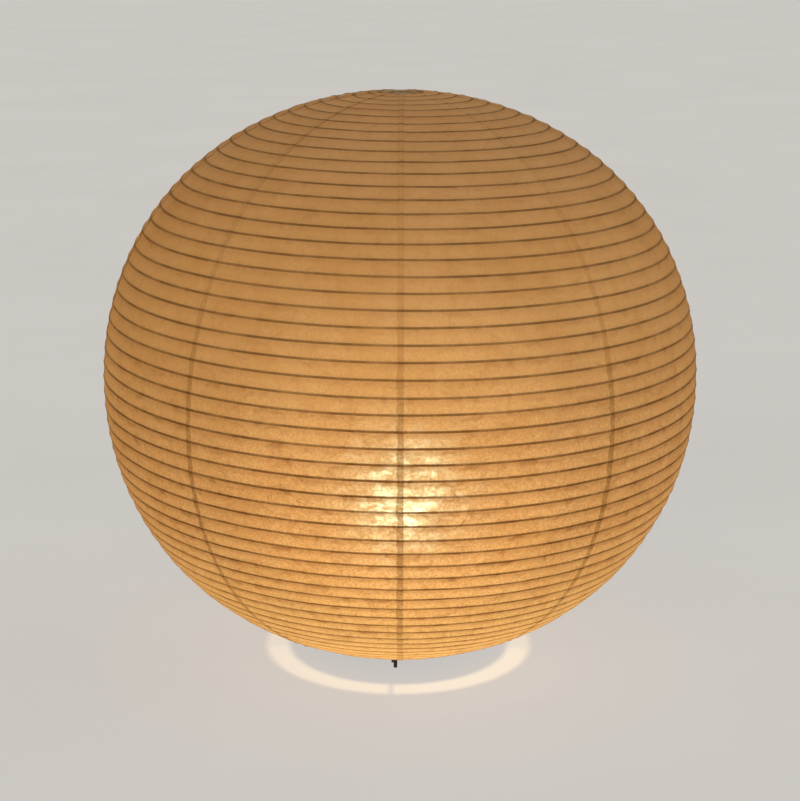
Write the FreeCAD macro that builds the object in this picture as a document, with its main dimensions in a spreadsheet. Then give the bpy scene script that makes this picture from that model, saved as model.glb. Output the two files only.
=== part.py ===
"""Paper globe table lamp: nine lapped paper gores on one bamboo spiral, held open by a wire
stretcher, over a round plate on three bent wire legs with a screw lampholder and bulb.

Millimetres, +Z up, origin on the table under the middle of the globe, front towards -Y.
"""
import FreeCAD, Part
import math
import os

import Sketcher

Vector = FreeCAD.Vector
AXIS = Vector(0, 0, 1)
ORIGIN = Vector(0, 0, 0)

SIZES = {
    # the globe: a superellipse turned about the axis
    "globe_radius": 225.0,
    "globe_half_height": 214.9,
    "globe_fullness": 2.079,
    "globe_floor_space": 5.6,
    # paper gores, lapped and glued at their edges
    "gore_count": 9,
    "paper_thickness": 0.3,
    "lap_width": 2.7,
    "lap_root": 2.7,
    "paper_gap": 0.1,
    # bamboo rib: one spiral inside the paper
    "rib_width": 1.5,
    "rib_turns": 51.6,
    "rib_start_angle": 144.0,
    "rib_ease": 0.083,
    "rib_gap": 0.3,
    "rib_end_space": 2.0,
    # wire rings at the two openings, each bound into a paper hem flush with the paper's outer face
    "top_opening_radius": 15.6,
    "bottom_opening_radius": 87.5,
    "ring_wire": 2.0,
    "hem_thickness": 0.3,
    "hem_gap": 0.05,
    "seat_gap": 0.4,
    # three bent wires, each a leg and an arm that steps down to a seat for the bottom ring
    "leg_wire": 2.0,
    "leg_circle": 52.7,
    "leg_bend": 5.0,
    "front_leg_angle": -3.3,
    "step_depth": 0.8,
    "step_slope": 15.0,
    "seat_inner": 2.5,
    "seat_outer": 1.0,
    # soft caps on the feet
    "cap_radius": 1.4,
    "cap_height": 9.0,
    "cap_floor": 1.5,
    "fit_gap": 0.05,
    # base plate
    "plate_radius": 70.3,
    "plate_thickness": 2.0,
    "plate_edge": 0.5,
    # stretcher wire and its two sockets
    "stretcher_wire": 3.0,
    "stretcher_half_span": 45.0,
    "shoulder_drop": 101.0,
    "stretcher_shoulder": 3.5,
    "stretcher_bend": 4.0,
    "knee_bend": 30.0,
    "hump_height": 3.4,
    "hump_half_width": 8.0,
    "hump_space": 1.0,
    "socket_wall": 1.5,
    "socket_height": 22.0,
    # lampholder on a hollow threaded nipple
    "nipple_radius": 5.0,
    "nipple_bore": 4.0,
    "nipple_rise": 10.0,
    "nipple_drop": 6.0,
    "bush_bore": 3.2,
    "bush_flange_height": 1.5,
    "bush_neck_height": 5.0,
    "nut_across_corners": 16.2,
    "nut_height": 4.0,
    "holder_radius": 20.0,
    "holder_wall": 2.5,
    "cup_floor": 10.8,
    "cup_height": 18.8,
    "body_height": 32.0,
    "core_height": 11.5,
    "core_gap": 0.3,
    "shell_bore": 13.35,
    "shell_wall": 0.5,
    "shell_height": 24.0,
    "shell_flange_bore": 8.5,
    "contact_radius": 4.0,
    "contact_height": 2.9,
    "contact_gap": 0.1,
    "screw_circle": 15.6,
    "screw_head_radius": 1.5,
    "screw_head_height": 1.2,
    "screw_shank_radius": 1.0,
    "screw_shank_length": 6.0,
    # bulb
    "bulb_radius": 30.0,
    "bulb_length": 110.0,
    "glass_wall": 1.0,
    "neck_gap": 0.2,
    "neck_start": 14.0,
    "neck_end": 28.0,
    "screw_cap_radius": 13.0,
    "screw_cap_wall": 0.5,
    "screw_cap_height": 22.0,
    "screw_cap_mouth": 6.0,
    "eyelet_radius": 4.7,
    "eyelet_height": 1.2,
    "insulator_top_radius": 9.5,
    "insulator_height": 2.8,
    "stem_flare_thickness": 1.5,
    "stem_radius": 3.0,
    "stem_height": 31.0,
    "filament_wire": 0.8,
    "filament_half_span": 14.0,
    "filament_rise": 33.0,
    "filament_lead": 2.0,
    "filament_bend": 3.0,
}

doc = FreeCAD.newDocument("paper_table_lamp")
sheet = doc.addObject("Spreadsheet::Sheet", "Sizes")


class Size:
    """A length with its value and the sheet expression that gives it."""

    def __init__(self, value, text):
        self.value = value
        self.text = text

    def join(self, other, sign, value):
        text = other.text if isinstance(other, Size) else repr(other)
        return Size(value, "(%s %s %s)" % (self.text, sign, text))

    def __add__(self, other):
        return self.join(other, "+", self.value + number(other))

    def __sub__(self, other):
        return self.join(other, "-", self.value - number(other))

    def __mul__(self, other):
        return self.join(other, "*", self.value * number(other))

    def __truediv__(self, other):
        return self.join(other, "/", self.value / number(other))


def number(size):
    return size.value if isinstance(size, Size) else float(size)


def add_cell(alias, value):
    """Put one named size in the sheet and give it back as a Size."""
    add_cell.row += 1
    sheet.set("A%d" % add_cell.row, alias)
    sheet.set("B%d" % add_cell.row, repr(value))
    sheet.setAlias("B%d" % add_cell.row, alias)
    return Size(float(value), "Sizes.%s" % alias)


add_cell.row = 0
D = {alias: add_cell(alias, value) for alias, value in SIZES.items()}
V = {alias: size.value for alias, size in D.items()}
ZERO = D["globe_radius"] * 0

sub_parts = []


def keep(thing, label):
    """Name a finished sub-part and put it on the list of pieces."""
    thing.Label = label
    sub_parts.append(thing)
    return thing


# Shared builders

def turned_body(name, corners):
    """A body turned about the upright axis from (radius, height) corners bound to the sheet."""
    body = doc.addObject("PartDesign::Body", name)
    sketch = body.newObject("Sketcher::SketchObject", name + "_outline")
    plane = [item for item in body.Origin.OriginFeatures if item.Role == "XZ_Plane"][0]
    sketch.AttachmentSupport = [(plane, "")]
    sketch.MapMode = "FlatFace"
    points = [Vector(number(radius), number(height), 0) for radius, height in corners]
    count = len(points)
    for index, point in enumerate(points):
        sketch.addGeometry(Part.LineSegment(point, points[(index + 1) % count]), False)
    for index in range(count):
        sketch.addConstraint(Sketcher.Constraint("Coincident", index, 2, (index + 1) % count, 1))
    for index, corner in enumerate(corners):
        for kind, size in zip(("DistanceX", "DistanceY"), corner):
            row = sketch.addConstraint(Sketcher.Constraint(kind, -1, 1, index, 1, number(size)))
            sketch.setExpression("Constraints[%d]" % row, size.text)
    turn = body.newObject("PartDesign::Revolution", name + "_turn")
    turn.Profile = sketch
    turn.ReferenceAxis = (sketch, ["V_Axis"])
    turn.Angle = 360.0
    return body


def sleeve(bore, radius, bottom, top):
    """Corners of a plain tube."""
    return [(bore, bottom), (radius, bottom), (radius, top), (bore, top)]


def bind(thing, **sizes):
    for name, size in sizes.items():
        thing.setExpression(name.replace("__", "."), size.text)


def cylinder(name, radius, height, x, y, bottom):
    """An upright cylinder whose sizes and place come from the sheet."""
    thing = doc.addObject("Part::Cylinder", name)
    bind(thing, Radius=radius, Height=height)
    bind(thing, Placement__Base__x=x, Placement__Base__y=y, Placement__Base__z=bottom)
    return thing


def torus(name, ring_radius, section_radius, height):
    thing = doc.addObject("Part::Torus", name)
    bind(thing, Radius1=ring_radius, Radius2=section_radius, Placement__Base__z=height)
    return thing


def cut(name, base, tool):
    thing = doc.addObject("Part::Cut", name)
    thing.Base = base
    thing.Tool = tool
    return thing


def piece(label, shape, placement=FreeCAD.Placement()):
    """A sub-part whose form has no ready-made feature."""
    thing = doc.addObject("Part::Feature", label)
    thing.Shape = shape
    thing.Placement = placement
    return keep(thing, label)


def bent_path(points, bends):
    """Straight runs through the points, with a tangent arc of its own radius at each corner."""
    edges = []
    last = points[0]
    for before, corner, after, bend in zip(points, points[1:], points[2:], bends):
        back = (before - corner).normalize()
        ahead = (after - corner).normalize()
        half_angle = back.getAngle(ahead) / 2
        reach = bend / math.tan(half_angle)
        middle = (back + ahead).normalize() * (bend / math.sin(half_angle) - bend)
        edges.append(Part.LineSegment(last, corner + back * reach).toShape())
        last = corner + ahead * reach
        edges.append(Part.Arc(corner + back * reach, corner + middle, last).toShape())
    edges.append(Part.LineSegment(last, points[-1]).toShape())
    return Part.Wire(edges)


def path_start(path):
    """Where a path begins, and its direction there."""
    first = path.Edges[0]
    return first.valueAt(first.FirstParameter), first.tangentAt(first.FirstParameter)


def swept(path, section):
    """A section carried along a path, tested against its area times the path's length."""
    solid = path.makePipeShell([section], True, False)
    expected = Part.Face(section).Area * path.Length
    if abs(solid.Volume / expected - 1) > 0.01:
        raise ValueError("a swept piece holds %.1f, not %.1f" % (solid.Volume, expected))
    return solid


def rod(path, radius):
    """A round wire along a path."""
    start, direction = path_start(path)
    return swept(path, Part.Wire(Part.makeCircle(radius, start, direction)))


def splint(path, width):
    """A square split strip along a path."""
    start, direction = path_start(path)
    across = direction.cross(AXIS).normalize() * (width / 2)
    upright = across.cross(direction).normalize() * (width / 2)
    corners = [start + across * x + upright * y for x, y in ((-1, -1), (1, -1), (1, 1), (-1, 1))]
    return swept(path, Part.makePolygon(corners + corners[:1]))


def around(angle, radius, height):
    """The point at an angle in degrees from the front, turning towards the right."""
    turn = math.radians(angle)
    return Vector(radius * math.sin(turn), -radius * math.cos(turn), height)


# The globe's meridian, measured along its arc from the top

class Meridian:
    """The globe's half outline: places and slopes by distance along the arc from the top."""

    STEPS = 6000

    def __init__(self):
        self.radii = []
        self.heights = []
        self.arcs = [0.0]
        power = 2.0 / V["globe_fullness"]
        centre = V["globe_floor_space"] + V["globe_half_height"]
        for step in range(self.STEPS + 1):
            turn = math.pi * step / self.STEPS
            rise = math.cos(turn)
            self.radii.append(V["globe_radius"] * abs(math.sin(turn)) ** power)
            lift = math.copysign(abs(rise) ** power, rise)
            self.heights.append(centre + V["globe_half_height"] * lift)
            if step:
                width = self.radii[step] - self.radii[step - 1]
                drop = self.heights[step] - self.heights[step - 1]
                self.arcs.append(self.arcs[-1] + math.hypot(width, drop))

    def at(self, arc, offset=0.0):
        """Radius and height at an arc distance, moved outwards by an offset."""
        low = 0
        high = self.STEPS
        while high - low > 1:
            middle = (low + high) // 2
            if self.arcs[middle] <= arc:
                low = middle
            else:
                high = middle
        span = self.arcs[high] - self.arcs[low]
        share = (arc - self.arcs[low]) / span
        width = self.radii[high] - self.radii[low]
        drop = self.heights[high] - self.heights[low]
        radius = self.radii[low] + width * share - drop / span * offset
        height = self.heights[low] + drop * share + width / span * offset
        return radius, height

    def arc_at_radius(self, radius, lower):
        """Arc distance at which the upper or lower half has this radius."""
        half = self.STEPS // 2
        steps = range(self.STEPS, half, -1) if lower else range(0, half)
        side = -1 if lower else 1
        for step in steps:
            inner = self.radii[step]
            outer = self.radii[step + side]
            if inner <= radius <= outer:
                share = (radius - inner) / (outer - inner)
                return self.arcs[step] + (self.arcs[step + side] - self.arcs[step]) * share
        raise ValueError("the globe is never %.1f wide there" % radius)


meridian = Meridian()
hem_radius = D["ring_wire"] / 2 + D["hem_gap"] + D["hem_thickness"]
top_ring_arc = meridian.arc_at_radius(V["top_opening_radius"], lower=False)
bottom_ring_arc = meridian.arc_at_radius(V["bottom_opening_radius"], lower=True)


def ring_cells(name, arc):
    """Radius and height of a ring whose hem just reaches the globe's outer face."""
    radius, height = meridian.at(arc, -hem_radius.value)
    return add_cell(name + "_ring_radius", radius), add_cell(name + "_ring_height", height)


top_ring_radius, top_ring_height = ring_cells("top", top_ring_arc)
bottom_ring_radius, bottom_ring_height = ring_cells("bottom", bottom_ring_arc)
doc.recompute()

# How far the paper's edge stays from a ring, so that its inner face clears the round hem
edge_depth = hem_radius.value - V["paper_thickness"] - V["paper_gap"]
edge_space = math.sqrt(hem_radius.value ** 2 - edge_depth ** 2) + V["paper_gap"]

# Heights that stack up from the table
seat_height = bottom_ring_height - hem_radius - D["seat_gap"] - D["leg_wire"] / 2
arm_height = seat_height + D["step_depth"]
plate_bottom = arm_height + D["leg_wire"] / 2
plate_top = plate_bottom + D["plate_thickness"]
core_bottom = plate_top + D["cup_floor"]
core_top = core_bottom + D["core_height"]
bulb_bottom = core_top + D["contact_height"] + D["contact_gap"]
stretcher_radius = D["stretcher_wire"] / 2


# Shade: gores, rib, rings and hems

def sheet_sector(inner, outer, start_angle, sweep):
    """A layer of the globe between two offsets from its outer face, over part of a turn."""
    first = top_ring_arc + edge_space
    last = bottom_ring_arc - edge_space
    span_count = 28
    arcs = [first + (last - first) * step / span_count for step in range(span_count + 1)]
    lines = []
    for offset in (inner, outer):
        curve = Part.BSplineCurve()
        curve.interpolate([around(start_angle, *meridian.at(arc, offset)) for arc in arcs])
        lines.append(curve.toShape())
    ends = []
    for arc in (first, last):
        corners = [around(start_angle, *meridian.at(arc, offset)) for offset in (inner, outer)]
        ends.append(Part.LineSegment(*corners).toShape())
    outline = Part.Wire(Part.__sortEdges__(lines + ends))
    return Part.Face(outline).revolve(ORIGIN, AXIS, sweep)


def seam_slab(angle, left, right):
    """A block from the axis outwards along a seam, between two distances beside the seam."""
    reach = 2 * V["globe_radius"]
    slab = Part.makeBox(reach, right - left, 2 * reach, Vector(0, left, -reach / 2))
    slab.rotate(ORIGIN, AXIS, angle - 90)
    return slab


def make_gores():
    """Each gore covers its share of the turn and laps over the next one's edge."""
    sweep = 360.0 / V["gore_count"]
    lap_face = V["paper_gap"] + V["paper_thickness"]
    edge_gap = math.degrees(V["paper_gap"] / V["globe_radius"])
    gore = sheet_sector(-V["paper_thickness"], 0.0, edge_gap, sweep - 2 * edge_gap)
    root = sheet_sector(0.0, lap_face, sweep / 2, sweep / 2 - edge_gap)
    root = root.common(seam_slab(sweep, -V["lap_root"], V["paper_gap"]))
    lap = sheet_sector(V["paper_gap"], lap_face, sweep - edge_gap, sweep / 2)
    lap = lap.common(seam_slab(sweep, -V["lap_root"], V["lap_width"]))
    pattern = gore.fuse([root, lap]).removeSplitter()
    for index in range(int(V["gore_count"])):
        turned = FreeCAD.Placement(ORIGIN, FreeCAD.Rotation(AXIS, index * sweep))
        piece("paper_gore_%d" % (index + 1), pattern, turned)


def rib_point(share, first, length):
    """Place on the spiral at a share of its turns: pitch eases off towards the bottom."""
    arc = first + length * (share + V["rib_ease"] * share * (1 - share))
    inset = V["paper_thickness"] + V["rib_gap"] + V["rib_width"] / math.sqrt(2)
    angle = V["rib_start_angle"] + 360.0 * V["rib_turns"] * share
    return around(angle, *meridian.at(arc, -inset))


def arc_edge(start, tangent, end):
    """The arc that leaves start along a tangent and reaches end."""
    chord = end - start
    along = Vector(chord).normalize()
    lean = tangent.getAngle(chord)
    side = (tangent - along * tangent.dot(along)).normalize()
    middle = (start + end) * 0.5 + side * (chord.Length / 2 * math.tan(lean / 2))
    return Part.Arc(start, middle, end).toShape()


def biarc(start, start_tangent, end, end_tangent):
    """Two tangent arcs from one point and direction to another."""
    chord = end - start
    total = start_tangent + end_tangent
    bend = 2 * (1 - start_tangent.dot(end_tangent))
    pull = chord.dot(total)
    reach = (math.sqrt(pull * pull + bend * chord.dot(chord)) - pull) / bend
    middle = (start + end + (start_tangent - end_tangent) * reach) * 0.5
    joint_tangent = (middle - start - start_tangent * reach).normalize()
    return [arc_edge(start, start_tangent, middle), arc_edge(middle, joint_tangent, end)]


def make_rib():
    """One bamboo splint wound in a spiral from the top ring to the bottom ring."""
    first = top_ring_arc + hem_radius.value + V["rib_end_space"]
    length = bottom_ring_arc - hem_radius.value - V["rib_end_space"] - first
    count_per_turn = 4
    count = int(round(count_per_turn * V["rib_turns"]))
    nudge = 0.001 / count
    points = [rib_point(step / count, first, length) for step in range(count + 1)]
    tangents = []
    for step in range(count + 1):
        ahead = rib_point(min(1.0, step / count + nudge), first, length)
        behind = rib_point(max(0.0, step / count - nudge), first, length)
        tangents.append((ahead - behind).normalize())
    edges = [Part.LineSegment(points[0] - tangents[0] * V["rib_width"], points[0]).toShape()]
    for step in range(count):
        edges += biarc(points[step], tangents[step], points[step + 1], tangents[step + 1])
    tail = points[-1] + tangents[-1] * V["rib_width"]
    edges.append(Part.LineSegment(points[-1], tail).toShape())
    piece("bamboo_rib", splint(Part.Wire(edges), V["rib_width"]))
    turns = zip(points, points[count_per_turn:])
    gaps = [(below - above).Length for above, below in turns]
    print("bamboo_rib: least gap to itself %.2f mm" % (min(gaps) - V["rib_width"] * math.sqrt(2)))


def make_ring(name, ring_radius, height):
    """A wire ring and the paper hem that is folded round it."""
    keep(torus(name + "_ring", ring_radius, D["ring_wire"] / 2, height), name + "_ring")
    outside = torus(name + "_hem_outside", ring_radius, hem_radius, height)
    inside = torus(name + "_hem_inside", ring_radius, D["ring_wire"] / 2 + D["hem_gap"], height)
    keep(cut(name + "_hem", outside, inside), name + "_hem")


# Base: legs, caps, plate, stretcher and sockets

def make_legs():
    """Each leg rises to the plate, bends outwards below it and steps down under the bottom ring."""
    step_run = V["step_depth"] / math.tan(math.radians(V["step_slope"]))
    seat_start = bottom_ring_radius.value - V["seat_inner"]
    seat_end = bottom_ring_radius.value + V["seat_outer"]
    foot = V["cap_floor"] + V["fit_gap"]
    outline = [
        (V["leg_circle"], foot),
        (V["leg_circle"], arm_height.value),
        (seat_start - step_run, arm_height.value),
        (seat_start, seat_height.value),
        (seat_end, seat_height.value),
    ]
    bends = [V["leg_bend"]] * (len(outline) - 2)
    names = ["front", "right", "left"]
    for index, name in enumerate(names):
        angle = V["front_leg_angle"] + 360.0 * index / len(names)
        path = bent_path([around(angle, *corner) for corner in outline], bends)
        piece("leg_wire_" + name, rod(path, V["leg_wire"] / 2))
        bore = V["leg_wire"] / 2 + V["fit_gap"]
        cap = Part.makeCylinder(V["cap_radius"], V["cap_height"], around(angle, V["leg_circle"], 0))
        hollow = Part.makeCylinder(bore, V["cap_height"], around(angle, V["leg_circle"], V["cap_floor"]))
        piece("foot_cap_" + name, cap.cut(hollow))


def make_plate():
    bevel = D["plate_edge"]
    corners = [
        (D["nipple_radius"] + D["fit_gap"], plate_bottom),
        (D["plate_radius"], plate_bottom),
        (D["plate_radius"], plate_top - bevel),
        (D["plate_radius"] - bevel, plate_top),
        (D["nipple_radius"] + D["fit_gap"], plate_top),
    ]
    keep(turned_body("base_plate", corners), "base_plate")


def make_stretcher():
    """A sprung wire bow: two legs, sloping shoulders and a bar with a hump inside the top ring."""
    half_span = V["stretcher_half_span"]
    bar = top_ring_height.value - hem_radius.value - V["seat_gap"] - stretcher_radius.value
    shoulder = top_ring_radius.value + V["stretcher_shoulder"]
    hump_foot = top_ring_radius.value - hem_radius.value - stretcher_radius.value - V["hump_space"]
    right_side = [
        (V["hump_half_width"], bar + V["hump_height"]),
        (hump_foot, bar),
        (shoulder, bar),
        (half_span, bar - V["shoulder_drop"]),
        (half_span, plate_top.value + V["fit_gap"]),
    ]
    right = [Vector(x, 0, z) for x, z in right_side]
    left = [Vector(-x, 0, z) for x, z in reversed(right_side)]
    bend = V["stretcher_bend"]
    bends = [V["knee_bend"], bend, bend, bend, bend, bend, bend, V["knee_bend"]]
    piece("stretcher_wire", rod(bent_path(left + right, bends), stretcher_radius.value))
    bore = stretcher_radius + D["fit_gap"]
    for side, name in ((-1, "left"), (1, "right")):
        corners = sleeve(bore, bore + D["socket_wall"], plate_top, plate_top + D["socket_height"])
        socket = turned_body("stretcher_socket_" + name, corners)
        bind(socket, Placement__Base__x=D["stretcher_half_span"] * side)
        keep(socket, "stretcher_socket_" + name)


# Lampholder

def make_holder():
    bore = D["nipple_radius"] + D["fit_gap"]
    inside = D["holder_radius"] - D["holder_wall"]
    cup_top = plate_top + D["cup_height"]
    nipple = sleeve(D["nipple_bore"], D["nipple_radius"], plate_bottom - D["nipple_drop"],
                    plate_top + D["nipple_rise"])
    keep(turned_body("nipple", nipple), "nipple")
    make_bush(plate_bottom - D["nipple_drop"])
    prism = doc.addObject("Part::Prism", "nut_blank")
    prism.Polygon = 6
    bind(prism, Circumradius=D["nut_across_corners"] / 2, Height=D["nut_height"],
         Placement__Base__z=plate_bottom - D["nut_height"])
    hole = cylinder("nut_hole", bore, D["nut_height"] * 3, ZERO, ZERO,
                    plate_bottom - D["nut_height"] * 2)
    keep(cut("lock_nut", prism, hole), "lock_nut")
    keep(turned_body("holder_cup", [
        (bore, plate_top),
        (D["holder_radius"], plate_top),
        (D["holder_radius"], cup_top),
        (inside, cup_top),
        (inside, core_bottom),
        (bore, core_bottom),
    ]), "holder_cup")
    shell = sleeve(inside, D["holder_radius"], cup_top, cup_top + D["body_height"])
    keep(turned_body("holder_sleeve", shell), "holder_sleeve")
    make_holder_core(inside - D["core_gap"])
    shell_radius = D["shell_bore"] + D["shell_wall"]
    flange_top = core_top + D["shell_wall"]
    keep(turned_body("screw_shell", [
        (D["shell_flange_bore"], core_top),
        (shell_radius, core_top),
        (shell_radius, core_top + D["shell_height"]),
        (D["shell_bore"], core_top + D["shell_height"]),
        (D["shell_bore"], flange_top),
        (D["shell_flange_bore"], flange_top),
    ]), "screw_shell")
    contact = cylinder("centre_contact", D["contact_radius"], D["contact_height"], ZERO, ZERO, core_top)
    keep(contact, "centre_contact")


def make_bush(rim):
    """Plastic bush that lines the nipple's lower end, where the cord goes in."""
    neck = D["nipple_bore"] - D["fit_gap"]
    neck_top = rim + D["bush_neck_height"]
    keep(turned_body("cord_bush", [
        (D["bush_bore"], rim - D["bush_flange_height"]),
        (D["nipple_radius"], rim - D["bush_flange_height"]),
        (D["nipple_radius"], rim),
        (neck, rim),
        (neck, neck_top),
        (D["bush_bore"], neck_top),
    ]), "cord_bush")


def make_holder_core(radius):
    """Ceramic core with two upright holes for the terminal screws."""
    blank = doc.addObject("Part::Cylinder", "core_blank")
    bind(blank, Radius=radius, Height=D["core_height"], Placement__Base__z=core_bottom)
    shank_bottom = core_top - D["screw_shank_length"]
    hole_radius = D["screw_shank_radius"] + D["fit_gap"]
    screws = []
    for side, name in ((1, "back"), (-1, "front")):
        hole = cylinder("screw_hole_" + name, hole_radius, D["core_height"] * 2, ZERO,
                        D["screw_circle"] * side, shank_bottom - D["fit_gap"])
        blank = cut("core_after_" + name, blank, hole)
        place = Vector(0, V["screw_circle"] * side, core_top.value)
        head = Part.makeCylinder(V["screw_head_radius"], V["screw_head_height"], place)
        shank = Part.makeCylinder(V["screw_shank_radius"], V["screw_shank_length"], place, -AXIS)
        screws.append(head.fuse(shank).removeSplitter())
    keep(blank, "holder_core")
    piece("terminal_screws", Part.makeCompound(screws))


# Bulb

def make_bulb():
    cap_bottom = bulb_bottom + D["eyelet_height"] + D["insulator_height"]
    cap_top = cap_bottom + D["screw_cap_height"]
    cap_inside = D["screw_cap_radius"] - D["screw_cap_wall"]
    cap_floor = cap_bottom + D["screw_cap_wall"]
    keep(cylinder("bulb_eyelet", D["eyelet_radius"], D["eyelet_height"], ZERO, ZERO, bulb_bottom),
         "bulb_eyelet")
    insulator = doc.addObject("Part::Cone", "bulb_insulator")
    bind(insulator, Radius1=D["eyelet_radius"], Radius2=D["insulator_top_radius"],
         Height=D["insulator_height"], Placement__Base__z=bulb_bottom + D["eyelet_height"])
    keep(insulator, "bulb_insulator")
    keep(turned_body("bulb_screw_cap", [
        (D["screw_cap_mouth"], cap_bottom),
        (D["screw_cap_radius"], cap_bottom),
        (D["screw_cap_radius"], cap_top),
        (cap_inside, cap_top),
        (cap_inside, cap_floor),
        (D["screw_cap_mouth"], cap_floor),
    ]), "bulb_screw_cap")
    neck_radius = cap_inside - D["neck_gap"]
    piece("bulb_glass", bulb_envelope(neck_radius.value))
    stem_bottom = bulb_bottom + D["neck_start"]
    flare_top = stem_bottom + D["stem_flare_thickness"]
    stem_top = stem_bottom + D["stem_height"]
    flare = neck_radius - D["glass_wall"] - D["neck_gap"]
    keep(turned_body("bulb_stem", [
        (ZERO, stem_bottom),
        (flare, stem_bottom),
        (flare, flare_top),
        (D["stem_radius"], flare_top + D["stem_radius"]),
        (D["stem_radius"], stem_top),
        (ZERO, stem_top),
    ]), "bulb_stem")
    lead = V["filament_lead"]
    top = stem_top.value + V["filament_rise"]
    wide = V["filament_half_span"]
    low = stem_top.value + V["fit_gap"]
    left_half = [(-lead, low), (-lead, low + lead * 2), (-wide, top)]
    route = left_half + [(-x, z) for x, z in reversed(left_half)]
    path = bent_path([Vector(x, 0, z) for x, z in route], [V["filament_bend"]] * (len(route) - 2))
    piece("bulb_filament", rod(path, V["filament_wire"] / 2))


def bulb_envelope(neck_radius):
    """Hollow glass: a straight neck, a hollow curve and a ball, each tangent to the next."""
    bottom = bulb_bottom.value + V["neck_start"]
    bend_start = bulb_bottom.value + V["neck_end"]
    centre = bulb_bottom.value + V["bulb_length"] - V["bulb_radius"]
    rise = centre - bend_start
    ball = V["bulb_radius"]
    curve = (rise ** 2 + neck_radius ** 2 - ball ** 2) / (2 * (ball - neck_radius))
    hollow_centre = Vector(neck_radius + curve, 0, bend_start)
    to_ball = (hollow_centre - Vector(0, 0, centre)).normalize()
    fall = math.atan2(to_ball.z, to_ball.x)
    lines = []
    for wall in (0.0, V["glass_wall"]):
        neck = neck_radius - wall
        start = Vector(neck, 0, bottom)
        bend = Vector(neck, 0, bend_start)
        joint = Vector(0, 0, centre) + to_ball * (ball - wall)
        lean = (math.pi + math.atan2(-to_ball.z, -to_ball.x)) / 2
        sway = Vector(math.cos(lean), 0, math.sin(lean)) * (curve + wall)
        swell = (fall + math.pi / 2) / 2
        bulge = Vector(math.cos(swell), 0, math.sin(swell)) * (ball - wall)
        top = Vector(0, 0, centre + ball - wall)
        lines.append(Part.LineSegment(start, bend).toShape())
        lines.append(Part.Arc(bend, hollow_centre + sway, joint).toShape())
        lines.append(Part.Arc(joint, Vector(0, 0, centre) + bulge, top).toShape())
    rim = Vector(neck_radius, 0, bottom)
    lines.append(Part.LineSegment(rim, rim - Vector(V["glass_wall"], 0, 0)).toShape())
    crown = Vector(0, 0, centre + ball)
    lines.append(Part.LineSegment(crown, crown - AXIS * V["glass_wall"]).toShape())
    outline = Part.Wire(Part.__sortEdges__(lines))
    return Part.Face(outline).revolve(ORIGIN, AXIS, 360)


make_gores()
make_rib()
make_ring("top", top_ring_radius, top_ring_height)
make_ring("bottom", bottom_ring_radius, bottom_ring_height)
make_legs()
make_plate()
make_stretcher()
make_holder()
make_bulb()

doc.recompute()
for thing in doc.Objects:
    if "Invalid" in thing.State or "Error" in thing.State:
        raise ValueError("%s did not build: %s" % (thing.Name, thing.State))
for thing in sub_parts:
    if thing.Shape.isNull() or not thing.Shape.isValid():
        raise ValueError("%s has no valid shape" % thing.Label)

os.makedirs("parts", exist_ok=True)
for thing in sub_parts:
    thing.Shape.exportStep("parts/%s.step" % thing.Label)
    box = thing.Shape.BoundBox
    print("%-24s solids %d  volume %10.1f  z %7.2f to %7.2f" % (
        thing.Label, len(thing.Shape.Solids), thing.Shape.Volume, box.ZMin, box.ZMax))
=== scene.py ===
"""Looks of the paper globe table lamp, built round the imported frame.

Metres, +Z up, origin on the table under the middle of the globe, front towards -Y.
"""
import math
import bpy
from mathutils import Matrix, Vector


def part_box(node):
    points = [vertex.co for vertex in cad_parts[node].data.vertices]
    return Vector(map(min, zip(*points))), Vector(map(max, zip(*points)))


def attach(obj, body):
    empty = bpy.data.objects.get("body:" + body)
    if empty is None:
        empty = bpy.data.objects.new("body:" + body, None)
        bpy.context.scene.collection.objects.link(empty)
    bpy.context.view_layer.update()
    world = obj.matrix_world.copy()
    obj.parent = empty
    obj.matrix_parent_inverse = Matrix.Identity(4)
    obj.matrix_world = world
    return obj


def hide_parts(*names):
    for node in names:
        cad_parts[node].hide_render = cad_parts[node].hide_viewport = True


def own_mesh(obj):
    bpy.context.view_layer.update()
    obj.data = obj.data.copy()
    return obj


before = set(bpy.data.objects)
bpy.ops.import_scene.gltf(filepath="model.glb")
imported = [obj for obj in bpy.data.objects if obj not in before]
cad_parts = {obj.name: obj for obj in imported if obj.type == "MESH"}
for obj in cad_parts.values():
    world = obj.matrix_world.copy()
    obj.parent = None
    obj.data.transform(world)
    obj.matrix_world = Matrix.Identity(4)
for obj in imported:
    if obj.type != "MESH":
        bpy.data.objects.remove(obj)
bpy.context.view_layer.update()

from types import SimpleNamespace

import bmesh
import bpy
import numpy as np
from mathutils import Matrix, Vector, noise

# The globe: a superellipse turned about the axis
GLOBE_RADIUS = 0.225
GLOBE_HALF_HEIGHT = 0.2149
GLOBE_FULLNESS = 2.079
GLOBE_CENTRE = 0.2205
TOP_OPENING = 0.0156
BOTTOM_OPENING = 0.0875

# Paper gores, lapped at their edges
GORE_COUNT = 9
LAP_WIDTH = 0.0024
LAP_ROOT = 0.0018
LAP_LIFT = 0.00035
LAP_TUCK = 0.0002
LAP_STEPS = (0.3, 0.5, 0.75, 1.0)
SEAM_REACH = 4
EDGE_SPACE = 0.0004
EDGE_EASE = 3
PAPER_SAG = 0.0006
SAG_UNEVENNESS = 0.5
PAPER_RIPPLE = 0.00035
RIPPLE_SCALE = 45
GORE_COLUMNS = 20
ROWS_PER_TURN = 6
JOIN_DISTANCE = 2e-6

# Hems, folded round the two rings
STEPS_PER_PLEAT = 6
HEM_SECTION_STEPS = 20
PLEAT_TWIST = 1.2
TOP_PLEATS = 26
BOTTOM_PLEATS = 110

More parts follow.
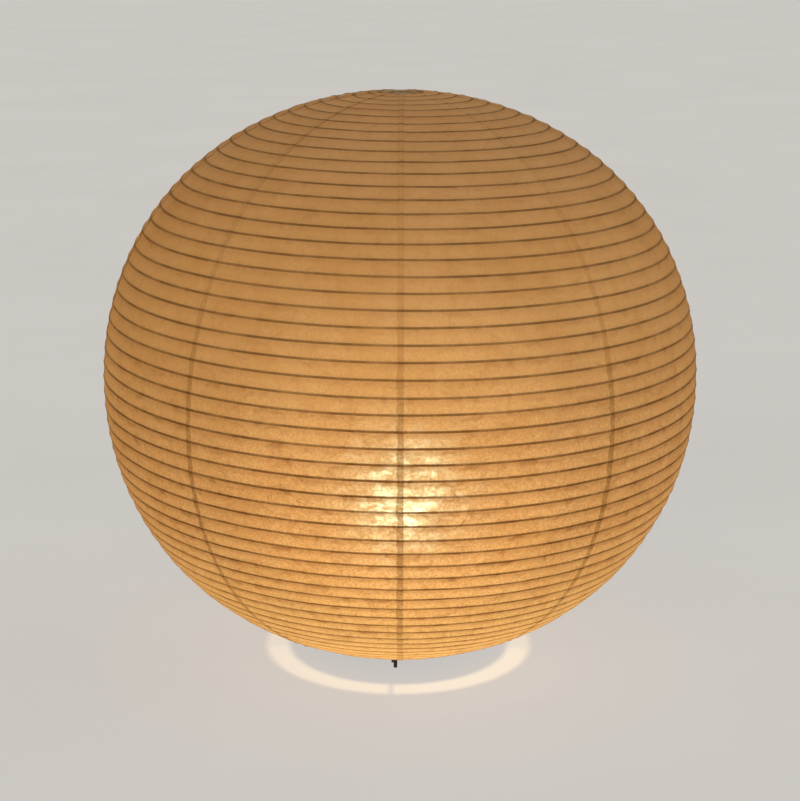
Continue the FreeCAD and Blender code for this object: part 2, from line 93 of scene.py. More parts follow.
# How the paper takes light: its nearness falls from 1 to LEAST_NEAR between two distances from the glow
NEAR_DISTANCE = 0.225
FAR_DISTANCE = 0.285
LEAST_NEAR = 0.3
MOST_GLOW = 0.0192
MOST_PULP = 0.42
SHEET_PASSES = 0.62
HEM_PASSES = 0.25

# Fibres: scale, width and strength
FIBRE_SIZES = ((34, 0.009, 0.4), (80, 0.016, 0.34), (170, 0.03, 0.24))

# Bamboo rib: one spiral inside the paper
RIB_TURNS = 51.6
RIB_START = math.radians(144)
RIB_EASE = 0.083
RIB_END_SPACE = 0.002
RIB_RADIUS = 0.00082
RIB_INSET = 0.0014
RIB_WAVER = 0.00035
RIB_WIDTH_WAVES = ((0.08, 9.7), (0.05, 23.1))
RIB_STEPS_PER_TURN = 72
RIB_SIDES = 6

# Bulb and its screw cap
THREAD_PITCH = 0.00363
THREAD_DEPTH = 0.0008
THREAD_LOW_FADE = 0.08
THREAD_HIGH_FADE = 0.2
CAP_ROWS = 96
CAP_SEGMENTS = 72
NECK_HEIGHT = 0.014
NECK_INSET = 0.0007
NECK_STEPS = 12
BALL_STEPS = 28
BALL_TIP = 1e-5

# Light of the bulb
GLOW_OFFSET = Vector((0.004, 0, -0.01))
BULB_POWER = 2.86
BULB_COLOUR = (1.0, 0.85, 0.61)
BULB_SOFTNESS = 0.42
NECK_GLOW = 0.4
BALL_GLOW = 1.5

# Studio
FLOOR_RADIUS = 16
FLOOR_PALENESS = 0.95
SKY_STRENGTH = 0.2

# Photograph's view
CAMERA_PLACE = Vector((0, -1.4275, 0.5748))
CAMERA_DIP = math.radians(14.76)
CAMERA_ROLL = 0.00236
CAMERA_LENS = 86.0
SENSOR = 36.0


# Shared helpers

def srgb(red, green, blue):
    """A colour given as 0 to 255, as linear RGBA."""
    parts = [value / 255 for value in (red, green, blue)]
    linear = [part / 12.92 if part <= 0.04045 else ((part + 0.055) / 1.055) ** 2.4 for part in parts]
    return (*linear, 1.0)


def new_material(name):
    material = bpy.data.materials.new(name)
    material.use_nodes = True
    material.node_tree.nodes.clear()
    return material


def node(tree, kind, inputs=None, **settings):
    """A shader node with its settings and inputs; an input that is a socket is linked."""
    made = tree.nodes.new("ShaderNode" + kind)
    for name, value in settings.items():
        setattr(made, name, value)
    for name, value in (inputs or {}).items():
        if isinstance(value, bpy.types.NodeSocket):
            tree.links.new(value, made.inputs[name])
        else:
            made.inputs[name].default_value = value
    return made


def place(tree):
    return node(tree, "TexCoord").outputs["Object"]


def grain(tree, scale, detail=3.0, roughness=0.55, distortion=0.0, stretch=None):
    """Noise over the piece's own place, about 0.25 to 0.75."""
    where = place(tree)
    if stretch:
        where = node(tree, "Mapping", {"Vector": where, "Scale": stretch}).outputs[0]
    return node(tree, "TexNoise", {"Vector": where, "Scale": scale, "Detail": detail,
                                   "Roughness": roughness, "Distortion": distortion}).outputs["Fac"]


def spread(tree, value, low, high, to_low=0.0, to_high=1.0):
    """A value moved smoothly from one range to another."""
    inputs = {"Value": value, "From Min": low, "From Max": high, "To Min": to_low, "To Max": to_high}
    return node(tree, "MapRange", inputs, interpolation_type="SMOOTHSTEP").outputs[0]


def math_of(tree, operation, first, second=0.0):
    return node(tree, "Math", {0: first, 1: second}, operation=operation).outputs[0]


def times(tree, first, *others):
    """The product of two or more values."""
    for other in others:
        first = math_of(tree, "MULTIPLY", first, other)
    return first


def without(tree, value):
    """What a value leaves of one."""
    return math_of(tree, "SUBTRACT", 1.0, value)


def vertex_value(tree, name):
    return node(tree, "Attribute", attribute_name=name).outputs["Fac"]


def mixed(tree, factor, first, second, blend="MIX"):
    """Two colours mixed by a factor."""
    made = node(tree, "Mix", data_type="RGBA", blend_type=blend)
    for index, value in ((0, factor), (6, first), (7, second)):
        if isinstance(value, bpy.types.NodeSocket):
            tree.links.new(value, made.inputs[index])
        else:
            made.inputs[index].default_value = value
    return made.outputs[2]


def surface(tree, shader):
    node(tree, "OutputMaterial", {"Surface": shader})


def new_piece(name, points, faces, material):
    """A smooth mesh of points and faces, in one material."""
    mesh = bpy.data.meshes.new(name)
    mesh.from_pydata([tuple(point) for point in points], [], faces)
    mesh.polygons.foreach_set("use_smooth", [True] * len(mesh.polygons))
    mesh.materials.append(material)
    piece = bpy.data.objects.new(name, mesh)
    bpy.context.scene.collection.objects.link(piece)
    return piece


def grid_faces(rows, columns, wrap_rows=False, wrap_columns=False):
    """Quads of a grid of points kept row by row."""
    faces = []
    for row in range(rows if wrap_rows else rows - 1):
        below = (row + 1) % rows
        for column in range(columns if wrap_columns else columns - 1):
            beside = (column + 1) % columns
            faces.append((row * columns + column, below * columns + column,
                          below * columns + beside, row * columns + beside))
    return faces


def lathe(name, profile, material, segments=64):
    """A piece turned about the upright axis from (radius, height) points, bottom to top."""
    points = []
    for radius, height in profile:
        for step in range(segments):
            turn = 2 * math.pi * step / segments
            points.append((radius * math.sin(turn), radius * math.cos(turn), height))
    return new_piece(name, points, grid_faces(len(profile), segments, wrap_columns=True), material)


def ring_of(name):
    """Radius, height and wire radius of one of the frame's rings."""
    low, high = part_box(name)
    wire = (high.z - low.z) / 2
    return SimpleNamespace(radius=(high.x - low.x) / 2 - wire, height=(low.z + high.z) / 2, wire=wire)


# The globe's meridian, measured along its arc from the top

_turns = np.linspace(0, np.pi, 6001)
_power = 2 / GLOBE_FULLNESS
_radii = GLOBE_RADIUS * np.abs(np.sin(_turns)) ** _power
_heights = GLOBE_CENTRE + GLOBE_HALF_HEIGHT * np.sign(np.cos(_turns)) * np.abs(np.cos(_turns)) ** _power
_arcs = np.concatenate([[0], np.cumsum(np.hypot(np.diff(_radii), np.diff(_heights)))])
_half = len(_arcs) // 2


def globe_at(arc, offset=0.0):
    """Radius and height at an arc distance, moved outwards by an offset."""
    widening = np.interp(arc, _arcs, np.gradient(_radii, _arcs))
    falling = np.interp(arc, _arcs, np.gradient(_heights, _arcs))
    radius = np.interp(arc, _arcs, _radii) - falling * offset
    height = np.interp(arc, _arcs, _heights) + widening * offset
    return radius, height


def around(turn, radius, height):
    """Points at an angle from the front, turning towards the right."""
    return np.stack([radius * np.sin(turn), -radius * np.cos(turn), height], axis=-1)


top_ring = ring_of("top_ring")
bottom_ring = ring_of("bottom_ring")
hem_radius = ring_of("top_hem").wire
top_arc = np.interp(TOP_OPENING, _radii[:_half], _arcs[:_half])
bottom_arc = np.interp(-BOTTOM_OPENING, -_radii[_half:], _arcs[_half:])
sheet_first = top_arc + EDGE_SPACE
sheet_last = bottom_arc - EDGE_SPACE
rib_first = top_arc + hem_radius + RIB_END_SPACE
rib_length = bottom_arc - hem_radius - RIB_END_SPACE - rib_first
bulb_low, bulb_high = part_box("bulb_glass")
bulb_radius = bulb_high.x
bulb_centre = Vector((0, 0, bulb_high.z - bulb_radius))
glow_centre = bulb_centre + GLOW_OFFSET


def rib_waver(turns):
    """How far the rib strays up or down at a count of turns."""
    waves = ((1.31, 0.3, 0.5), (3.17, 1.1, 0.3), (7.43, 2.6, 0.2))
    return RIB_WAVER * sum(size * np.sin(rate * 2 * np.pi * turns + start) for rate, start, size in waves)


def rib_arc(turns):
    """Arc distance of the spiral at a count of turns from its upper end."""
    share = turns / RIB_TURNS
    return rib_first + rib_length * (share + RIB_EASE * share * (1 - share)) + rib_waver(turns)


def between_ribs(line, turn):
    """Arc distance of a line that is a number of pitches below the first rib, at an angle."""
    above = np.floor(line)
    share = line - above
    before = (turn - RIB_START) / (2 * np.pi)
    return rib_arc(above + before) * (1 - share) + rib_arc(above + 1 + before) * share


# Paper tones, some of them painted light and shade, tones that multiply the paper to darken it, most of
# them as painted shade and shadow, and tints of light let straight through

PAPER_PALE = srgb(244, 198, 137)
PAPER_CLOUD = srgb(238, 190, 127)
PAPER_TOP_SHADE = srgb(212, 188, 160)
PAPER_LOW_GLOW = srgb(244, 208, 140)
PAPER_SHADED = srgb(196, 146, 92)
PAPER_FUZZ = srgb(176, 132, 90)
FIBRE_TONE = srgb(140, 90, 46)
PULP_TONE = srgb(188, 138, 86)
MOTTLE_SHADE_TONE = srgb(160, 108, 62)
LAP_SHADE_TONE = srgb(213, 209, 200)
RIB_SHADOW_TONE = srgb(174, 166, 160)
RIB_SHADOW_NEAR_TONE = srgb(222, 212, 200)
TOP_SHADE_TONE = srgb(239, 239, 239)
DARKER_FRONT = srgb(206, 206, 206)
GLOW_TINT = (0.62, 0.95, 0.82, 1)
MOTTLED_GLOW_TINT = (0.55, 0.42, 0.2, 1)


# Materials

def paper_place(tree):
    """Height on the paper, the way out from the bulb's glow, and how near the glow is."""
    height = node(tree, "SeparateXYZ", {0: place(tree)}).outputs["Z"]
    from_bulb = node(tree, "VectorMath", {0: place(tree), 1: glow_centre}, operation="SUBTRACT").outputs[0]
    outward = node(tree, "VectorMath", {0: from_bulb}, operation="NORMALIZE").outputs[0]
    distance = node(tree, "VectorMath", {0: from_bulb}, operation="LENGTH").outputs["Value"]
    near = spread(tree, distance, NEAR_DISTANCE, FAR_DISTANCE, 1.0, LEAST_NEAR)
    return SimpleNamespace(height=height, outward=outward, near=near)


def paper_base(tree, where):
    """Cloudy paper, greyer at the top and yellower low down as painted shade and light from the glow, with
    darker upright streaks.
    """
    clouds = spread(tree, grain(tree, 24, 3, 0.5, 0.6), 0.36, 0.66)
    # Darker upright streaks in the shaded tone.
    upright_streaks = spread(tree, grain(tree, 130, 2, stretch=(1, 1, 0.1)), 0.52, 0.74, 0.0, 0.14)
    colour = mixed(tree, clouds, PAPER_PALE, PAPER_CLOUD)
    # Painted shade: the paper turns greyer towards the top, far from the glow.
    colour = mixed(tree, spread(tree, where.height, 0.33, 0.435, 0.0, 0.3), colour, PAPER_TOP_SHADE)
    # Painted light: the paper turns yellower and lighter low down, near the bulb.
    colour = mixed(tree, spread(tree, where.height, 0.03, 0.17, 0.6, 0.0), colour, PAPER_LOW_GLOW)
    return mixed(tree, upright_streaks, colour, PAPER_SHADED)


def fibre_marks(tree):
    """Thin strands of three sizes, here and there."""
    fibres = 0.0
    for scale, width, strength in FIBRE_SIZES:
        strand = math_of(tree, "ABSOLUTE", math_of(tree, "SUBTRACT", grain(tree, scale, 2, 0.5, 1.4), 0.5))
        sparse = spread(tree, grain(tree, scale * 0.5, 1), 0.46, 0.6, 0.0, strength)
        fibre = times(tree, spread(tree, strand, 0.0, width, 1.0, 0.0), sparse)
        fibres = math_of(tree, "MAXIMUM", fibre, fibres)
    return fibres


def thin_patches(tree):
    """Where the paper lets the most light straight through: patches and level streaks."""
    patches = grain(tree, 55, 3, 0.6, 0.5, stretch=(1, 1, 1.4))
    streaks = grain(tree, 170, 4, 0.65, 0.6, stretch=(1, 1, 1.8))
    return times(tree, spread(tree, patches, 0.38, 0.6, 0.35, 1.0),
                 spread(tree, streaks, 0.38, 0.6, 0.25, 1.0))


def lap_shade_marks(tree, where):
    """Painted shade at the laps, where doubled paper passes less light: two edge lines high up, a full
    band lower down, weaker far from the glow, all a little ragged.
    """
    ragged = spread(tree, grain(tree, 120, 3, 0.6), 0.3, 0.7, -0.28, 0.28)
    seam = math_of(tree, "ABSOLUTE", math_of(tree, "ADD", vertex_value(tree, "seam"), ragged))
    band = spread(tree, seam, 1.0, 1.12, 1.0, 0.0)
    edges = times(tree, spread(tree, seam, 0.45, 0.9, 0.0, 0.55), band)
    full = times(tree, band, spread(tree, where.height, 0.22, 0.38, 1.0, 0.25))
    return times(tree, math_of(tree, "MAXIMUM", full, edges),
                 spread(tree, where.near, LEAST_NEAR, 1.0, 0.7, 1.0),
                 spread(tree, where.height, 0.03, 0.12, 0.6, 1.0))


def rib_shadow_marks(tree, line):
    """Painted shadow of the rib on the paper, uneven along its length."""
    centred = math_of(tree, "SUBTRACT", math_of(tree, "FRACT", math_of(tree, "ADD", line, 0.5)), 0.5)
    rib_shadow = spread(tree, math_of(tree, "ABSOLUTE", centred), 0.045, 0.1, 1.0, 0.0)
    return times(tree, rib_shadow, spread(tree, grain(tree, 38, 3), 0.34, 0.64, 0.68, 1.0))


def paper_body(tree, colour, where, ribbed):
    """Light thrown back, light that comes through, and a haze of fuzz.

    The haze is sheen that grows at a slant, plus painted shade that dims the paper by up to a fifth where
    the line of sight doesn't point at the glow.
    """
    wrinkles = node(tree, "Bump", {"Strength": 0.12, "Distance": 0.0004,
                                   "Height": grain(tree, 220, 4, 0.6)}).outputs[0]
    lit = mixed(tree, 1.0, colour, DARKER_FRONT, "MULTIPLY") if ribbed else colour
    front = node(tree, "BsdfDiffuse", {"Color": lit, "Normal": wrinkles})
    through = node(tree, "BsdfTranslucent", {"Color": colour, "Normal": wrinkles})
    passed = SHEET_PASSES if ribbed else HEM_PASSES
    sheet = node(tree, "MixShader", {0: passed, 1: front.outputs[0], 2: through.outputs[0]})
    fuzz = node(tree, "BsdfSheen", {"Color": PAPER_FUZZ, "Roughness": 0.5})
    aslant = node(tree, "LayerWeight", {"Blend": 0.35}).outputs["Facing"]
    # Painted shade: up to a fifth of the paper is swapped for dim sheen where the line of sight doesn't
    # point at the glow.
    shade_off_glow = node(tree, "LayerWeight", {"Blend": 0.5, "Normal": where.outward}).outputs["Facing"]
    sheen_and_shade = math_of(tree, "ADD", times(tree, aslant, 0.34), spread(tree, shade_off_glow, 0.0, 0.26, 0.0, 0.2))
    return node(tree, "MixShader", {0: sheen_and_shade, 1: sheet.outputs[0], 2: fuzz.outputs[0]}).outputs[0]


def paper_material(name, ribbed):
    """Fibrous paper, lit through: cloudy pulp, fine fibres, a painted shadow over the rib and painted
    shade at the laps, below each rib and towards the top.
    """
    material = new_material(name)
    tree = material.node_tree
    where = paper_place(tree)
    # Fibres and pulp are the paper's own; painting them stronger near the glow is painted backlight.
    fibres = times(tree, fibre_marks(tree), where.near)
    pulp = times(tree, spread(tree, grain(tree, 560, 2), 0.36, 0.64, 0.0, MOST_PULP), where.near)
    # Darker mottles: partly the paper's own unevenness, partly painted shade, since they show only near
    # the glow and mostly just below each rib.
    mottle_noise = grain(tree, 66, 4, 0.62, 0.9, stretch=(1, 1, 1.7))
    mottle_and_shade = times(tree, spread(tree, mottle_noise, 0.47, 0.72, 0.0, 0.72), where.near)
    colour = mixed(tree, fibres, paper_base(tree, where), FIBRE_TONE)
    colour = mixed(tree, pulp, colour, PULP_TONE)
    thin = times(tree, thin_patches(tree), without(tree, fibres),
                 spread(tree, pulp, 0.0, MOST_PULP, 1.0, 0.7))
    if ribbed:
        line = vertex_value(tree, "line")
        # Painted shade just below each rib: darker paper, more mottle and less glow there, deepest near
        # the glow.
        shaded = spread(tree, math_of(tree, "FRACT", line), 0.1, 0.6, 1.0, 0.0)
        mottle_and_shade = times(tree, mottle_and_shade, spread(tree, shaded, 0.0, 1.0, 0.4, 1.0))
        thin = times(tree, thin, spread(tree, shaded, 0.0, 1.0, 1.0, 0.4))
        shaded = times(tree, shaded, spread(tree, where.near, LEAST_NEAR, 1.0, 0.18, 0.36))
        colour = mixed(tree, shaded, colour, PAPER_SHADED)
    colour = mixed(tree, mottle_and_shade, colour, MOTTLE_SHADE_TONE)
    thin = times(tree, thin, without(tree, mottle_and_shade))
    if ribbed:
        # Painted shade at the laps, where doubled paper passes less light; less glow there too.
        lap = lap_shade_marks(tree, where)
        # Painted shadow of the rib on the paper, deeper near the glow; the glow is kept off it too.
        rib_shadow = rib_shadow_marks(tree, line)
        rib_shadow_near = times(tree, rib_shadow, spread(tree, where.near, LEAST_NEAR, 1.0))
        colour = mixed(tree, lap, colour, LAP_SHADE_TONE, "MULTIPLY")
        colour = mixed(tree, rib_shadow, colour, RIB_SHADOW_TONE, "MULTIPLY")
        colour = mixed(tree, rib_shadow_near, colour, RIB_SHADOW_NEAR_TONE, "MULTIPLY")
        thin = times(tree, thin, spread(tree, lap, 0.0, 1.0, 1.0, 0.35), without(tree, rib_shadow))
    # Painted shade: the paper darkens towards the top, far from the glow.
    colour = mixed(tree, spread(tree, where.height, 0.06, 0.4), colour, TOP_SHADE_TONE, "MULTIPLY")
    body = paper_body(tree, colour, where, ribbed)
    tint = mixed(tree, mottle_and_shade, GLOW_TINT, MOTTLED_GLOW_TINT)
    glow = node(tree, "BsdfRefraction", {"Color": tint, "Roughness": 0.54, "IOR": 1.45,
                                         "Normal": where.outward})
    share = times(tree, thin, MOST_GLOW)
    surface(tree, node(tree, "MixShader", {0: share, 1: body, 2: glow.outputs[0]}).outputs[0])
    return material


def finish(name, dark, pale, scale, rough, metal=0.0, bump=0.1, **constants):
    """A solid finish whose colour, roughness and surface vary a little."""
    material = new_material(name)
    tree = material.node_tree
    patches = spread(tree, grain(tree, scale, 4, 0.6), 0.3, 0.7)
    colour = mixed(tree, patches, dark, pale)
    roughness = spread(tree, grain(tree, scale * 3, 3), 0.3, 0.7, *rough)
    relief = node(tree, "Bump", {"Strength": bump, "Distance": 0.0003,
                                 "Height": grain(tree, scale * 6, 3)}).outputs[0]
    inputs = {"Base Color": colour, "Roughness": roughness, "Normal": relief, "Metallic": metal}
    inputs.update(constants)
    surface(tree, node(tree, "BsdfPrincipled", inputs).outputs[0])
    return material


def bulb_glass_material():
    """Frosted glass, glowing most round its middle."""
    material = new_material("frosted_bulb")
    tree = material.node_tree
    height = node(tree, "SeparateXYZ", {0: place(tree)}).outputs["Z"]
    glow = spread(tree, height, bulb_low.z + NECK_HEIGHT, bulb_centre.z, NECK_GLOW, BALL_GLOW)
    frost = node(tree, "Bump", {"Strength": 0.1, "Distance": 0.0002,
                                "Height": grain(tree, 900, 2)}).outputs[0]
    tint = mixed(tree, spread(tree, grain(tree, 70), 0.3, 0.7), srgb(255, 236, 200), srgb(255, 226, 182))
    surface(tree, node(tree, "BsdfPrincipled", {
        "Base Color": tint, "Roughness": 0.4, "Normal": frost,
        "Emission Color": tint, "Emission Strength": glow}).outputs[0])
    return material


# Shade

def set_vertex_values(piece, name, values):
    layer = piece.data.attributes.new(name, "FLOAT", "POINT")
    layer.data.foreach_set("value", np.asarray(values, dtype=np.float32).ravel())


def drop_flat_faces(piece):
    """Join the points that fall together at the two ends of a sheet."""
    work = bmesh.new()
    work.from_mesh(piece.data)
    bmesh.ops.remove_doubles(work, verts=work.verts, dist=JOIN_DISTANCE)
    bmesh.ops.dissolve_degenerate(work, edges=work.edges, dist=JOIN_DISTANCE)
    work.to_mesh(piece.data)
    work.free()


def sheet_arc(line, turn):
    """Arc distance of a line at an angle, kept on the sheet."""
    return np.clip(between_ribs(line, turn), sheet_first, sheet_last)


def gore_grid(index):
    """A sheet's points as lines and angles, with 1 on its lap and its place across the seam."""
    sweep = 2 * np.pi / GORE_COUNT
    left = index * sweep
    right = left + sweep
    lines = np.arange(-1, RIB_TURNS + 2, 1 / ROWS_PER_TURN)[:, None]
    left_radius = globe_at(sheet_arc(lines, left))[0]
    right_radius = globe_at(sheet_arc(lines, right))[0]
    share = np.linspace(0, 1, GORE_COLUMNS)[None, :]
    steps = np.array([LAP_STEPS])
    first = left + (LAP_WIDTH - LAP_TUCK) / left_radius
    last = right - LAP_ROOT / right_radius
    lap_end = right + LAP_WIDTH / right_radius
    turn = np.concatenate([first + (last - first) * share, last + (lap_end - last) * steps], axis=1)
    lap = np.concatenate([0 * share, 0 * steps + 1], axis=1) + 0 * turn
    seam = np.clip((turn - (last + lap_end) / 2) / ((lap_end - last) / 2), -SEAM_REACH, 1)
    return lines + 0 * turn, turn, lap, seam


def make_gore(index, material):
    """One sheet from under its neighbour's lap to the end of its own lap, sagging between the ribs."""
    line, turn, lap, seam = gore_grid(index)
    arc = sheet_arc(line, turn)
    between = line - np.floor(line)
    from_edge = np.minimum(arc - top_arc, bottom_arc - arc)
    inside = np.clip((from_edge - EDGE_SPACE) / (EDGE_EASE * hem_radius), 0, 1)
    over_hem = np.sqrt(np.maximum(hem_radius ** 2 - from_edge ** 2, 0))
    bend = -np.where(from_edge < hem_radius / 2, hem_radius - over_hem, 0)
    points = around(turn, *globe_at(arc))
    ripple = [noise.noise(Vector(point) * RIPPLE_SCALE) for point in points.reshape(-1, 3)]
    ripple = np.array(ripple).reshape(turn.shape)
    sag = -PAPER_SAG * 4 * between * (1 - between) * (1 + SAG_UNEVENNESS * ripple) + PAPER_RIPPLE * ripple
    points = around(turn, *globe_at(arc, sag * inside + bend + lap * LAP_LIFT))
    rows, columns = turn.shape
    name = "paper_sheet_%d" % (index + 1)
    piece = new_piece(name, points.reshape(-1, 3), grid_faces(rows, columns), material)
    set_vertex_values(piece, "line", line)
    set_vertex_values(piece, "seam", seam)
    drop_flat_faces(piece)
    return piece


def make_rib(material):
    """The bamboo splint: one spiral just inside the paper, a little uneven in width."""
    turns = np.linspace(0, RIB_TURNS, int(RIB_TURNS * RIB_STEPS_PER_TURN) + 1)
    turn = RIB_START + 2 * np.pi * turns
    centre = around(turn, *globe_at(rib_arc(turns), -RIB_INSET))
    outer = around(turn, *globe_at(rib_arc(turns))) - centre
    outer /= np.linalg.norm(outer, axis=1)[:, None]
    along = np.gradient(centre, axis=0)
    along /= np.linalg.norm(along, axis=1)[:, None]
    across = np.cross(along, outer)
    width = RIB_RADIUS * sum((size * np.sin(turns * rate) for size, rate in RIB_WIDTH_WAVES), 1)
    points = []
    for side in range(RIB_SIDES):
        angle = 2 * math.pi * side / RIB_SIDES
        points.append(centre + (outer * math.cos(angle) + across * math.sin(angle)) * width[:, None])
    points = np.stack(points, axis=1)
    faces = grid_faces(len(turns), RIB_SIDES, wrap_columns=True)
    last = (len(turns) - 1) * RIB_SIDES
    faces.append(tuple(range(RIB_SIDES)))
    faces.append(tuple(reversed(range(last, last + RIB_SIDES))))
    return new_piece("bamboo_spiral", points.reshape(-1, 3), faces, material)


def make_hem(name, ring, pleats, material):
    """A paper strip folded round a ring, with small pleats."""
    around_steps = pleats * STEPS_PER_PLEAT
    points = []
    for step in range(around_steps):
        turn = 2 * math.pi * step / around_steps
        for part in range(HEM_SECTION_STEPS):
            angle = 2 * math.pi * part / HEM_SECTION_STEPS
            crease = 0.5 + 0.5 * math.cos(pleats * turn + PLEAT_TWIST * math.sin(angle))
            section = hem_radius * (0.93 + 0.07 * crease)
            reach = ring.radius + section * math.cos(angle)
            points.append((reach * math.sin(turn), -reach * math.cos(turn),
                           ring.height + section * math.sin(angle)))
    faces = grid_faces(around_steps, HEM_SECTION_STEPS, wrap_rows=True, wrap_columns=True)
    return new_piece(name, points, faces, material)


# Bulb

def bulb_profile():
    """Neck, hollow curve and ball of the bulb, each tangent to the next."""
    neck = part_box("bulb_screw_cap")[1].x - NECK_INSET
    bend = bulb_low.z + NECK_HEIGHT
    rise = bulb_centre.z - bend
    curve = (rise ** 2 + neck ** 2 - bulb_radius ** 2) / (2 * (bulb_radius - neck))
    meet = math.atan2(-rise, neck + curve)
    profile = [(neck, bulb_low.z)]
    for step in range(NECK_STEPS + 1):
        angle = math.pi + meet * step / NECK_STEPS
        profile.append((neck + curve + curve * math.cos(angle), bend + curve * math.sin(angle)))
    for step in range(1, BALL_STEPS + 1):
        angle = meet + (math.pi / 2 - meet) * step / BALL_STEPS
        reach = max(bulb_radius * math.cos(angle), BALL_TIP)
        profile.append((reach, bulb_centre.z + bulb_radius * math.sin(angle)))
    return profile


def make_screw_cap(material):
    """Rolled metal screw cap with its rounded thread."""
    low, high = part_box("bulb_screw_cap")
    points = []
    for row in range(CAP_ROWS + 1):
        share = row / CAP_ROWS
        height = low.z + (high.z - low.z) * row / CAP_ROWS
        fade = min(1, share / THREAD_LOW_FADE, (1 - share) / THREAD_HIGH_FADE)
        for step in range(CAP_SEGMENTS):
            turn = 2 * math.pi * step / CAP_SEGMENTS
            phase = 2 * math.pi * (height - low.z) / THREAD_PITCH - turn
            dent = THREAD_DEPTH * (0.5 - 0.5 * math.cos(phase)) * max(fade, 0)
            reach = high.x - dent
            points.append((reach * math.sin(turn), -reach * math.cos(turn), height))
    faces = grid_faces(CAP_ROWS + 1, CAP_SEGMENTS, wrap_columns=True)
    return new_piece("threaded_cap", points, faces, material)


# Dress the frame

paper = paper_material("washi_paper", ribbed=True)
hem_paper = paper_material("hem_paper", ribbed=False)
bamboo = finish("bamboo", srgb(112, 74, 42), srgb(150, 106, 62), 180, (0.45, 0.65), bump=0.2)
wire_enamel = finish("wire_enamel", srgb(30, 27, 25), srgb(44, 40, 37), 300, (0.32, 0.5))
ring_steel = finish("ring_steel", srgb(142, 114, 80), srgb(164, 134, 98), 260, (0.55, 0.7), metal=1.0)
plate_paint = finish("plate_paint", srgb(36, 33, 31), srgb(48, 45, 42), 420, (0.45, 0.6), bump=0.25)
foot_rubber = finish("foot_rubber", srgb(24, 23, 23), srgb(38, 36, 35), 500, (0.7, 0.85))
zinc = finish("zinc", srgb(170, 172, 172), srgb(204, 204, 200), 500, (0.25, 0.45), metal=1.0)
holder_plastic = finish("holder_plastic", srgb(226, 222, 210), srgb(236, 232, 222), 200, (0.35, 0.5))
bush_plastic = finish("bush_plastic", srgb(34, 34, 35), srgb(46, 45, 45), 300, (0.45, 0.6))
porcelain = finish("porcelain", srgb(232, 228, 218), srgb(242, 240, 234), 150, (0.15, 0.3))
brass = finish("brass", srgb(196, 154, 84), srgb(222, 184, 112), 400, (0.22, 0.4), metal=1.0)
cap_metal = finish("cap_metal", srgb(186, 184, 178), srgb(214, 212, 206), 350, (0.22, 0.4), metal=1.0)
black_glass = finish("black_glass", srgb(18, 18, 20), srgb(30, 30, 32), 200, (0.08, 0.16))
clear_glass = finish("stem_glass", srgb(238, 242, 242), srgb(246, 248, 248), 120, (0.05, 0.1),
                     **{"Transmission Weight": 0.9, "IOR": 1.5})
tungsten = finish("tungsten", srgb(120, 112, 104), srgb(150, 142, 132), 900, (0.3, 0.5), metal=1.0,
                  **{"Emission Color": srgb(255, 196, 120), "Emission Strength": 6.0})
frosted = bulb_glass_material()

FINISHES = {
    wire_enamel: ["leg_wire_front", "leg_wire_right", "leg_wire_left",
                  "stretcher_socket_left", "stretcher_socket_right"],
    ring_steel: ["stretcher_wire", "top_ring", "bottom_ring"],
    plate_paint: ["base_plate"],
    foot_rubber: ["foot_cap_front", "foot_cap_right", "foot_cap_left"],
    zinc: ["nipple", "lock_nut"],
    holder_plastic: ["holder_cup", "holder_sleeve"],
    bush_plastic: ["cord_bush"],
    porcelain: ["holder_core"],
    brass: ["terminal_screws", "screw_shell", "centre_contact", "bulb_eyelet"],
    black_glass: ["bulb_insulator"],
    clear_glass: ["bulb_stem"],
    tungsten: ["bulb_filament"],
}
for material, names in FINISHES.items():
    for name in names:
        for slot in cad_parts[name].material_slots:
            slot.material = material


def carry(piece, body, slot, *nodes):
    """Put a new piece on its body, in the place of the frame's nodes."""
    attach(piece, body)
    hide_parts(*nodes)


def gather(piece):
    """Give the paper or rib a mesh of its own."""
    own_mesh(piece)


for index in range(GORE_COUNT):
    sheet = make_gore(index, paper)
    carry(sheet, "shade", "paper", "paper_gore_%d" % (index + 1))
    gather(sheet)
spiral = make_rib(bamboo)
# The rib casts no shadow of its own; its shadow is painted on the paper.
spiral.visible_shadow = False
carry(spiral, "shade", "bamboo", "bamboo_rib")
gather(spiral)
top_binding = make_hem("top_binding", top_ring, TOP_PLEATS, hem_paper)
carry(top_binding, "shade", "paper", "top_hem")
bottom_binding = make_hem("bottom_binding", bottom_ring, BOTTOM_PLEATS, hem_paper)
carry(bottom_binding, "shade_foot", "paper", "bottom_hem")
glass = lathe("frosted_glass", bulb_profile(), frosted)
glass.visible_shadow = False
carry(glass, "bulb", "bulb_glass", "bulb_glass")
carry(make_screw_cap(cap_metal), "bulb", "cap_metal", "bulb_screw_cap")


# Light, floor and camera

def make_floor():
    """A plain floor that keeps its own pale tone and takes the lamp's light as well."""
    material = new_material("pale_floor")
    tree = material.node_tree
    patches = spread(tree, grain(tree, 3), 0.3, 0.7)
    tone = mixed(tree, patches, srgb(198, 195, 191), srgb(200, 197, 193))
    lit = node(tree, "BsdfDiffuse", {"Color": mixed(tree, patches, srgb(97, 90, 76), srgb(99, 92, 78))})
    path = node(tree, "LightPath").outputs
    seen = math_of(tree, "MAXIMUM", path["Is Camera Ray"], path["Is Glossy Ray"])
    seen = math_of(tree, "MAXIMUM", seen, path["Is Transmission Ray"])
    pale = node(tree, "Emission", {"Color": tone, "Strength": times(tree, seen, FLOOR_PALENESS)})
    surface(tree, node(tree, "AddShader", {0: lit.outputs[0], 1: pale.outputs[0]}).outputs[0])
    turns = [2 * math.pi * step / 64 for step in range(64)]
    rim = [(FLOOR_RADIUS * math.cos(turn), FLOOR_RADIUS * math.sin(turn), 0) for turn in turns]
    new_piece("floor", rim, [tuple(range(64))], material)


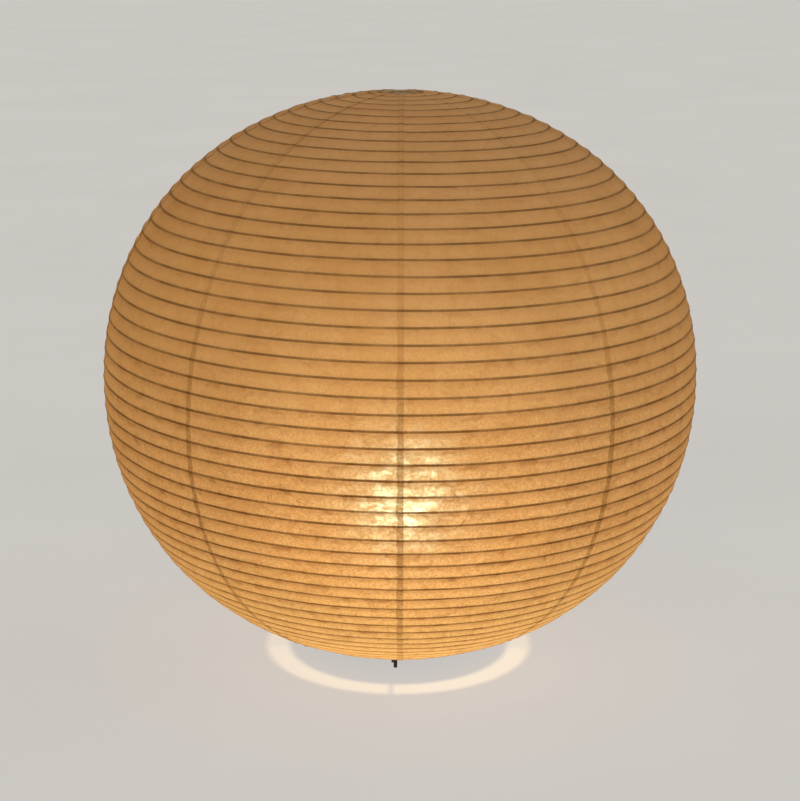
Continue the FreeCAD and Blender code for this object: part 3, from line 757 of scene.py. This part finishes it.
def make_world():
    """A soft, dim sky, with a pale backdrop where it is seen."""
    world = bpy.data.worlds.new("studio")
    bpy.context.scene.world = world
    world.use_nodes = True
    tree = world.node_tree
    tree.nodes.clear()
    sky = node(tree, "Background", {"Color": srgb(236, 236, 238), "Strength": SKY_STRENGTH})
    backdrop = node(tree, "Background", {"Color": srgb(204, 199, 192)})
    in_view = node(tree, "LightPath").outputs["Is Camera Ray"]
    both = node(tree, "MixShader", {0: in_view, 1: sky.outputs[0], 2: backdrop.outputs[0]})
    node(tree, "OutputWorld", {"Surface": both.outputs[0]})


def make_lamp(name, kind, power, colour):
    data = bpy.data.lights.new(name, kind)
    data.energy = power
    data.color = colour
    lamp = bpy.data.objects.new(name, data)
    bpy.context.scene.collection.objects.link(lamp)
    return lamp


def make_softbox(name, azimuth, elevation, level, spread_angle, colour):
    """A broad, distant lamp in front, to the right at a positive azimuth.

    At level 1 a white surface that faces it is white.
    """
    lamp = make_lamp(name, "SUN", level * math.pi, colour)
    lamp.data.angle = math.radians(spread_angle)
    lamp.rotation_euler = (math.pi / 2 - math.radians(elevation), 0, math.radians(azimuth))


def make_bulb_light(holder):
    """The bulb's light comes mostly from the middle of the frosted ball."""
    lamp = make_lamp("bulb_light", "POINT", BULB_POWER, BULB_COLOUR)
    lamp.data.shadow_soft_size = BULB_SOFTNESS * bulb_radius
    lamp.location = glow_centre
    lamp.parent = holder


def make_camera():
    data = bpy.data.cameras.new("camera")
    data.sensor_fit = "VERTICAL"
    data.sensor_height = SENSOR
    data.lens = CAMERA_LENS
    data.clip_end = 100
    camera = bpy.data.objects.new("camera", data)
    tilt = Matrix.Rotation(math.pi / 2 - CAMERA_DIP, 4, "X") @ Matrix.Rotation(CAMERA_ROLL, 4, "Z")
    camera.matrix_world = Matrix.Translation(CAMERA_PLACE) @ tilt
    bpy.context.scene.collection.objects.link(camera)
    bpy.context.scene.camera = camera


make_floor()
make_world()
make_softbox("key", azimuth=-10, elevation=14, level=0.66, spread_angle=50, colour=(1, 0.97, 0.89))
make_softbox("fill", azimuth=78, elevation=24, level=0.32, spread_angle=60, colour=(0.6, 0.95, 1.4))
make_bulb_light(glass)
make_camera()
bpy.context.scene.view_settings.view_transform = "Standard"
